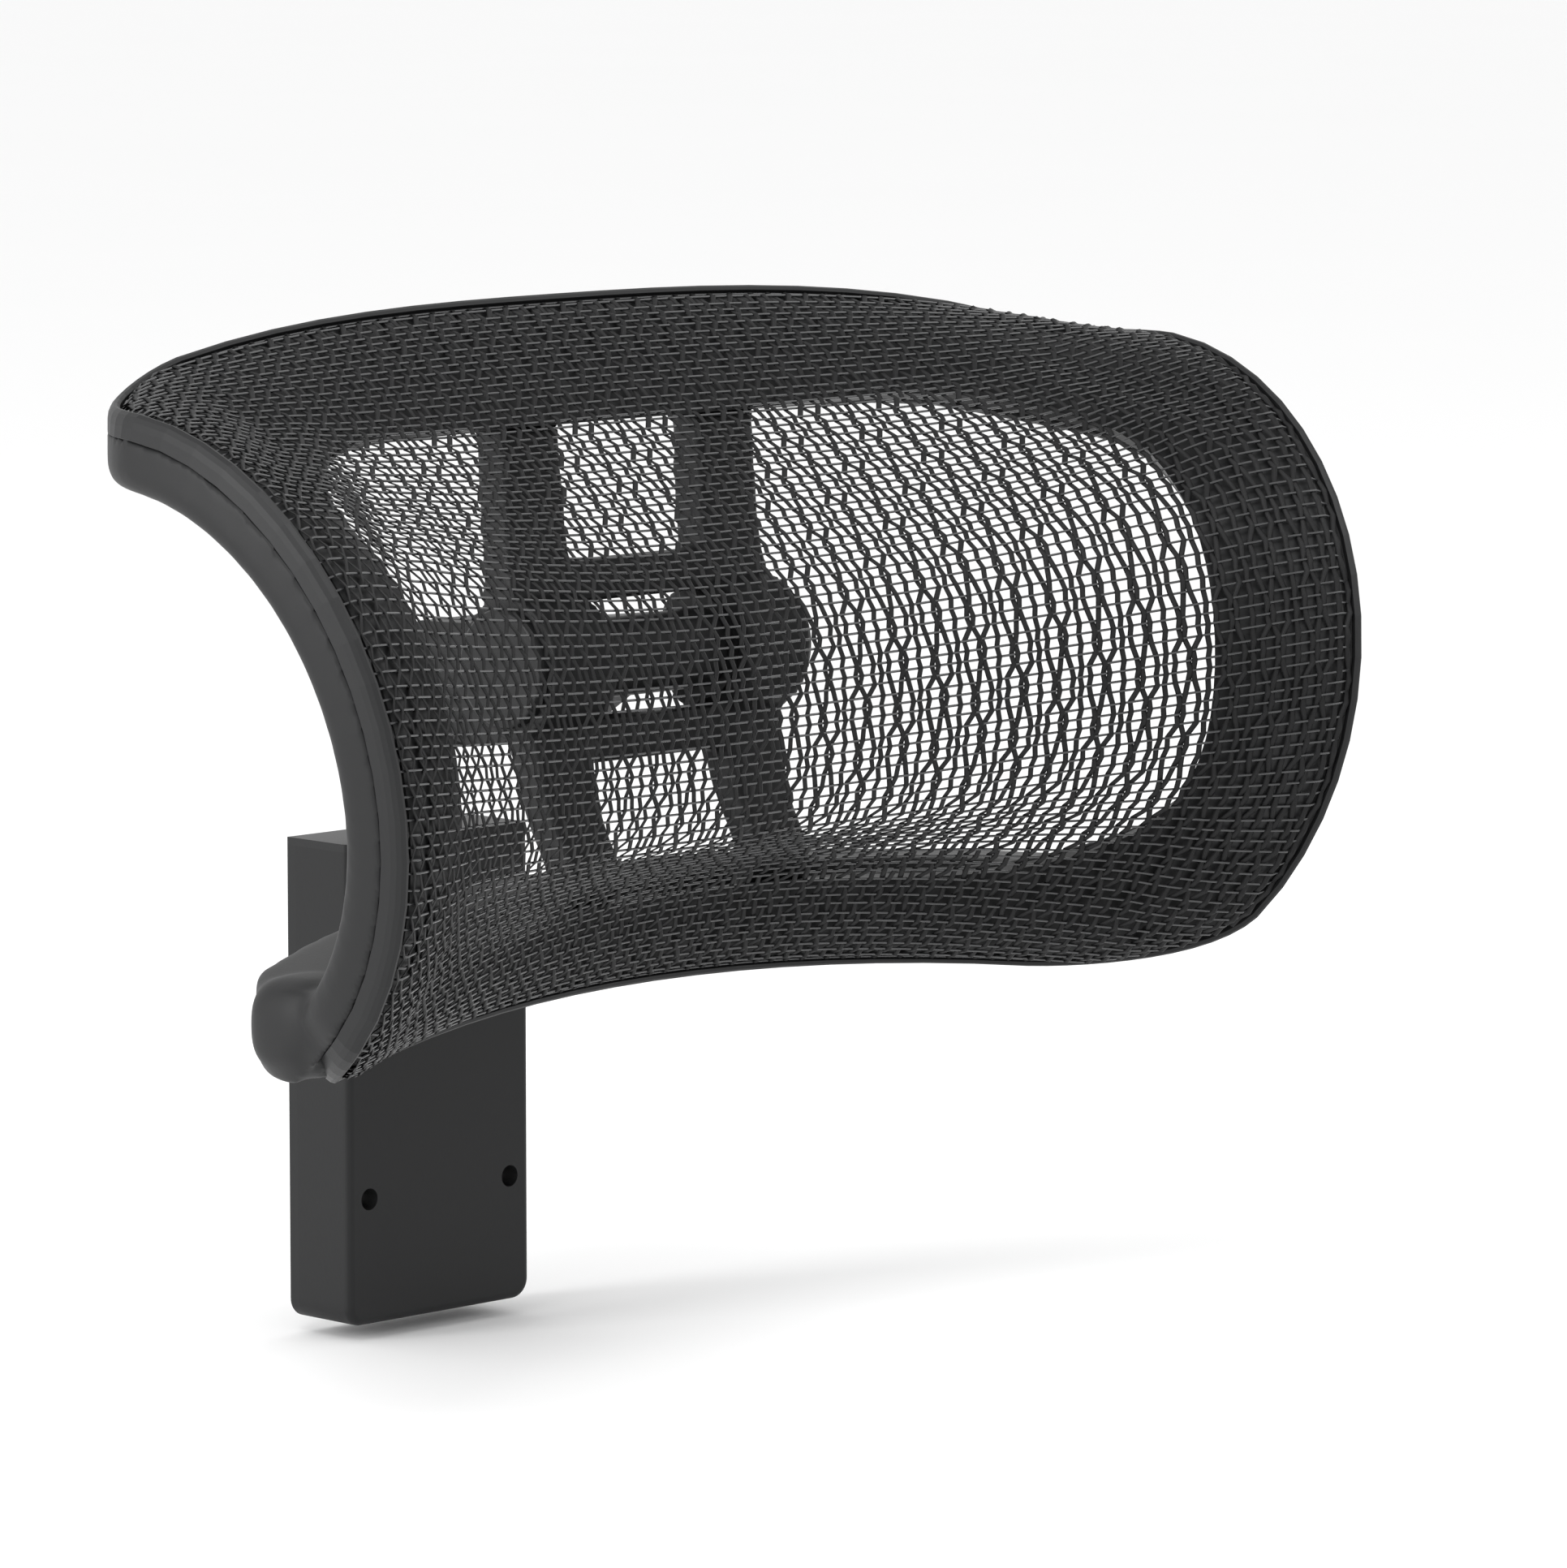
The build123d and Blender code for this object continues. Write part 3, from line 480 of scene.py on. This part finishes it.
class Graph:
    """The node graph of one material."""

    def __init__(self, name):
        self.material = bpy.data.materials.new(name)
        self.material.use_nodes = True
        self.tree = self.material.node_tree
        self.tree.nodes.clear()

    def node(self, kind, settings=None, inputs=None):
        """Adds a node: its settings first, then values or links; returns its outputs by name."""
        made = self.tree.nodes.new(kind)
        for key, value in (settings or {}).items():
            setattr(made, key, value)
        for key, value in (inputs or {}).items():
            if isinstance(value, Value):
                self.tree.links.new(value.socket, made.inputs[key])
            else:
                made.inputs[key].default_value = value
        return {output.name: Value(self, output) for output in made.outputs if output.enabled}

    def mix(self, share, first, second):
        """A colour between two others."""
        sockets = {"Factor": share, "A": first, "B": second}
        made = self.tree.nodes.new("ShaderNodeMix")
        made.data_type = "RGBA"
        for socket in made.inputs:
            if socket.enabled and socket.name in sockets:
                value = sockets[socket.name]
                if isinstance(value, Value):
                    self.tree.links.new(value.socket, socket)
                else:
                    socket.default_value = value
        return Value(self, next(output for output in made.outputs if output.enabled))

    def bump(self, height, strength, distance):
        """A normal that follows a height."""
        sockets = {"Strength": strength, "Distance": distance, "Height": height}
        return self.node("ShaderNodeBump", None, sockets)["Normal"]

    def finish(self, **inputs):
        """Ends the graph in one principled surface."""
        sockets = {key.replace("_", " "): value for key, value in inputs.items()}
        surface = self.node("ShaderNodeBsdfPrincipled", None, sockets)
        self.node("ShaderNodeOutputMaterial", None, {"Surface": surface["BSDF"]})
        return self.material


def scaled(colour, factor):
    """The colour made lighter or darker, with full alpha."""
    return tuple(channel * factor for channel in colour) + (1.0,)


def textured_plastic(name, colour, roughness=0.5, grain=1500.0, depth=0.00006, wear=0.25):
    """Moulded plastic with a fine spark-eroded grain."""
    graph = Graph(name)
    place = graph.node("ShaderNodeTexCoord")["Object"]
    fine = graph.node("ShaderNodeTexNoise", None, {"Vector": place, "Scale": grain, "Detail": 2.0})["Fac"]
    cells = graph.node("ShaderNodeTexVoronoi", {"feature": "SMOOTH_F1"},
                       {"Vector": place, "Scale": grain * 0.6})["Distance"]
    broad = graph.node("ShaderNodeTexNoise", None, {"Vector": place, "Scale": 22.0, "Detail": 4.0})["Fac"]
    height = fine * 0.6 + cells * 0.6
    base = graph.mix(broad * 0.6 + fine * wear, scaled(colour, 0.82), scaled(colour, 1.22))
    rough = roughness - 0.06 + broad * 0.1 + fine * 0.05
    return graph.finish(Base_Color=base, Roughness=rough, Normal=graph.bump(height, 0.35, depth),
                        Specular_IOR_Level=0.26)


LINE_SPREAD = (40.0, 40.0, 900.0)


def metal(name, colour, roughness):
    """Plated or turned steel with fine lines."""
    graph = Graph(name)
    place = graph.node("ShaderNodeTexCoord")["Object"]
    stretched = graph.node("ShaderNodeVectorMath", {"operation": "MULTIPLY"},
                           {0: place, 1: LINE_SPREAD})["Vector"]
    lines = graph.node("ShaderNodeTexNoise", None, {"Vector": stretched, "Scale": 1.0, "Detail": 3.0})["Fac"]
    patch = graph.node("ShaderNodeTexNoise", None, {"Vector": place, "Scale": 90.0, "Detail": 3.0})["Fac"]
    base = graph.mix(patch, scaled(colour, 0.85), scaled(colour, 1.1))
    return graph.finish(Base_Color=base, Metallic=1.0, Roughness=roughness + lines * 0.14 + patch * 0.06,
                        Normal=graph.bump(lines, 0.2, 0.00003))


def ribbon_yarn(name, colour):
    """Flat multifilament yarn: fine lines along it, a soft sheen across."""
    graph = Graph(name)
    yarn = graph.node("ShaderNodeAttribute", {"attribute_name": "yarn"})["Vector"]
    parts = graph.node("ShaderNodeSeparateXYZ", None, {"Vector": yarn})
    around, along = parts["X"], parts["Y"]
    place = graph.node("ShaderNodeTexCoord")["Object"]
    wander = graph.node("ShaderNodeTexNoise", None, {"Vector": place, "Scale": 420.0, "Detail": 2.0})["Fac"]
    filaments = (around * 88.0 + wander * 5.0 + along * 260.0).sin()
    tone = graph.node("ShaderNodeTexNoise", None, {"Vector": place, "Scale": 60.0, "Detail": 3.0})["Fac"]
    base = graph.mix(filaments * 0.25 + tone * 0.7, scaled(colour, 0.6), scaled(colour, 1.6))
    return graph.finish(Base_Color=base, Roughness=0.42 + tone * 0.12, Specular_IOR_Level=0.24,
                        Normal=graph.bump(filaments, 0.5, 0.00006))


def thread_with_painted_glints(name, colour):
    """Smoky monofilament that flashes where it turns to the light, with painted glints: noise spots along it
    are brightened in its colour.
    """
    graph = Graph(name)
    place = graph.node("ShaderNodeTexCoord")["Object"]
    # Noise that brightens spots of the thread's colour up to 1.7 times, as painted glints; it also varies
    # the roughness.
    tone = graph.node("ShaderNodeTexNoise", None, {"Vector": place, "Scale": 300.0, "Detail": 2.0})["Fac"]
    base = graph.mix(tone, scaled(colour, 0.6), scaled(colour, 1.7))
    return graph.finish(Base_Color=base, Roughness=0.12 + tone * 0.1, Coat_Weight=0.2, Coat_Roughness=0.06,
                        Specular_IOR_Level=0.45, Normal=graph.bump(tone, 0.25, 0.00005))


# Tone, as a share of the group's colour, and roughness of each part.
PLASTIC_PARTS = {
    "front_ring": (1.0, 0.46), "rear_frame": (0.92, 0.5), "neck_arm": (1.0, 0.46), "post_sleeve": (1.1, 0.4),
    "bar_stop": (1.3, 0.42), "bracket_base": (0.95, 0.5), "bracket_cover": (1.05, 0.48),
    "guide_collar": (1.15, 0.42), "eye_cap_left": (0.9, 0.4), "eye_cap_right": (0.9, 0.4),
    "latch_button": (1.3, 0.38), "friction_washer_left": (0.8, 0.4), "friction_washer_right": (0.8, 0.4),
    "mesh_spline": (0.5, 0.7),
}
STEEL_PARTS = {
    "pivot_bolt": (0.9, 0.28), "lock_nut": (0.85, 0.3), "pivot_washers": (1.0, 0.26),
    "post_core": (0.85, 0.34), "eye_bush_left": (1.05, 0.24), "eye_bush_right": (1.05, 0.24),
    "barrel_tube": (1.05, 0.24), "latch_plate": (0.9, 0.32), "latch_spring": (1.15, 0.2),
    "core_screw": (0.35, 0.34), "stop_screw": (0.35, 0.34), "cover_screws": (0.35, 0.34),
    "ring_screws": (0.35, 0.34),
}
ACETAL_PARTS = {"guide_liner_front": 0.42, "guide_liner_rear": 0.42}


def paint(piece, material):
    """Gives the piece one material."""
    piece.data.materials.clear()
    piece.data.materials.append(material)


class HEADREST_OT_finishes(bpy.types.Operator):
    """Gives each part its finish"""

    bl_idname = "headrest.finishes"
    bl_label = "Apply finishes"

    def execute(self, context):
        colours = context.scene.headrest_colours
        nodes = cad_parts
        for name, (tone, roughness) in PLASTIC_PARTS.items():
            colour = scaled(colours.plastic, tone)[:3]
            paint(nodes[name], textured_plastic(name + "_finish", colour, roughness))
        for name, (tone, roughness) in STEEL_PARTS.items():
            paint(nodes[name], metal(name + "_finish", scaled(colours.steel, tone)[:3], roughness))
        for name, roughness in ACETAL_PARTS.items():
            smooth = textured_plastic(name + "_finish", tuple(colours.acetal), roughness, 900.0, 0.00002)
            paint(nodes[name], smooth)
        paint(bpy.data.objects["rear_moulding"], nodes["rear_frame"].data.materials[0])
        paint(bpy.data.objects["weave_warps"], ribbon_yarn("warp_finish", tuple(colours.warp)))
        paint(bpy.data.objects["weave_wefts"], thread_with_painted_glints("weft_finish", tuple(colours.weft)))
        return {"FINISHED"}


# ------------------------------------------------------------ studio
CAMERA_PLACE = (-1.44754, -1.56989, 0.34956)
CAMERA_RIGHT = (0.7071, -0.7071, 0.0)
CAMERA_UP = (0.0904, 0.0904, 0.9918)
CAMERA_LOOK = (0.7013, 0.7013, -0.1279)
CAMERA_LENS = 197.32
WORLD_STRENGTH = 1.05
FLOOR_HALF, FLOOR_DROP = 40, 0.004
LAMP_AIM = (0.0, -0.09, 0.12)
# Place, width and height, and power of each lamp.
LAMPS = {
    "key_light": ((-1.0, -0.8, 1.6), (1.0, 0.8), 18.0),
    "side_light": ((-1.6, 0.45, 0.55), (0.5, 0.9), 15.0),
    "fill_light": ((1.2, -1.4, 1.2), (1.0, 1.0), 6.0),
}


def turned_to(side, up, back, place):
    """A placing matrix from three directions and a point."""
    turned = Matrix(np.column_stack([side, up, back]).tolist()).to_4x4()
    turned.translation = place
    return turned


def lamp(name, place, size, power):
    """A soft rectangular lamp that looks at the object."""
    light = bpy.data.lights.new(name, "AREA")
    light.shape = "RECTANGLE"
    light.size, light.size_y = size
    light.energy = power
    piece = bpy.data.objects.new(name, light)
    bpy.context.scene.collection.objects.link(piece)
    look = np.array(LAMP_AIM) - np.array(place)
    back = -look / np.linalg.norm(look)
    side = unit(np.cross((0.0, 0.0, 1.0), back))
    piece.matrix_world = turned_to(side, np.cross(back, side), back, place)


class HEADREST_OT_stage(bpy.types.Operator):
    """Sets up the pale floor, soft lights and camera"""

    bl_idname = "headrest.stage"
    bl_label = "Set the stage"

    def execute(self, context):
        scene = context.scene
        low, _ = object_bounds()
        level = low.z - FLOOR_DROP
        corners = [(x * FLOOR_HALF, y * FLOOR_HALF, level) for x, y in ((-1, -1), (1, -1), (1, 1), (-1, 1))]
        mesh = bpy.data.meshes.new("studio_floor")
        mesh.from_pydata(corners, [], [(0, 1, 2, 3)])
        floor = added(mesh)
        graph = Graph("floor_finish")
        place = graph.node("ShaderNodeTexCoord")["Object"]
        tone = graph.node("ShaderNodeTexNoise", None, {"Vector": place, "Scale": 3.0, "Detail": 3.0})["Fac"]
        colour = scene.headrest_colours.floor
        base = graph.mix(tone, scaled(colour, 0.99), scaled(colour, 1.0))
        paint(floor, graph.finish(Base_Color=base, Roughness=0.85))
        floor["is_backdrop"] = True
        world = bpy.data.worlds.new("studio")
        world.use_nodes = True
        background = world.node_tree.nodes["Background"]
        background.inputs["Color"].default_value = (1.0, 1.0, 1.0, 1.0)
        background.inputs["Strength"].default_value = WORLD_STRENGTH
        scene.world = world
        scene.view_settings.view_transform = "Standard"
        for name, (place, size, power) in LAMPS.items():
            lamp(name, place, size, power)
        data = bpy.data.cameras.new("camera")
        data.lens, data.sensor_width = CAMERA_LENS, 36.0
        data.clip_start, data.clip_end = 0.05, 100.0
        data.dof.use_dof = False
        camera = bpy.data.objects.new("camera", data)
        scene.collection.objects.link(camera)
        camera.matrix_world = turned_to(CAMERA_RIGHT, CAMERA_UP, -np.array(CAMERA_LOOK), CAMERA_PLACE)
        scene.camera = camera
        return {"FINISHED"}


STEPS = ("headrest.weave", "headrest.moulding", "headrest.finishes", "headrest.stage")


class HEADREST_PT_panel(bpy.types.Panel):
    """Sizes, colours and build steps"""

    bl_label = "Headrest"
    bl_idname = "HEADREST_PT_panel"
    bl_space_type = "VIEW_3D"
    bl_region_type = "UI"
    bl_category = "Headrest"

    def draw(self, context):
        for group in (context.scene.headrest_weave, context.scene.headrest_colours):
            box = self.layout.box()
            for name in group.__annotations__:
                box.prop(group, name)
        for step in STEPS:
            self.layout.operator(step)


CLASSES = (HeadrestWeave, HeadrestColours, HEADREST_OT_weave, HEADREST_OT_moulding, HEADREST_OT_finishes,
           HEADREST_OT_stage, HEADREST_PT_panel)


def register():
    for item in CLASSES:
        bpy.utils.register_class(item)
    bpy.types.Scene.headrest_weave = bpy.props.PointerProperty(type=HeadrestWeave)
    bpy.types.Scene.headrest_colours = bpy.props.PointerProperty(type=HeadrestColours)


def unregister():
    del bpy.types.Scene.headrest_weave
    del bpy.types.Scene.headrest_colours
    for item in reversed(CLASSES):
        bpy.utils.unregister_class(item)


def main():
    register()
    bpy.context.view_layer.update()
    bpy.ops.headrest.weave()
    bpy.ops.headrest.moulding()
    bpy.ops.headrest.finishes()
    bpy.ops.headrest.stage()


if __name__ == "__main__":
    main()
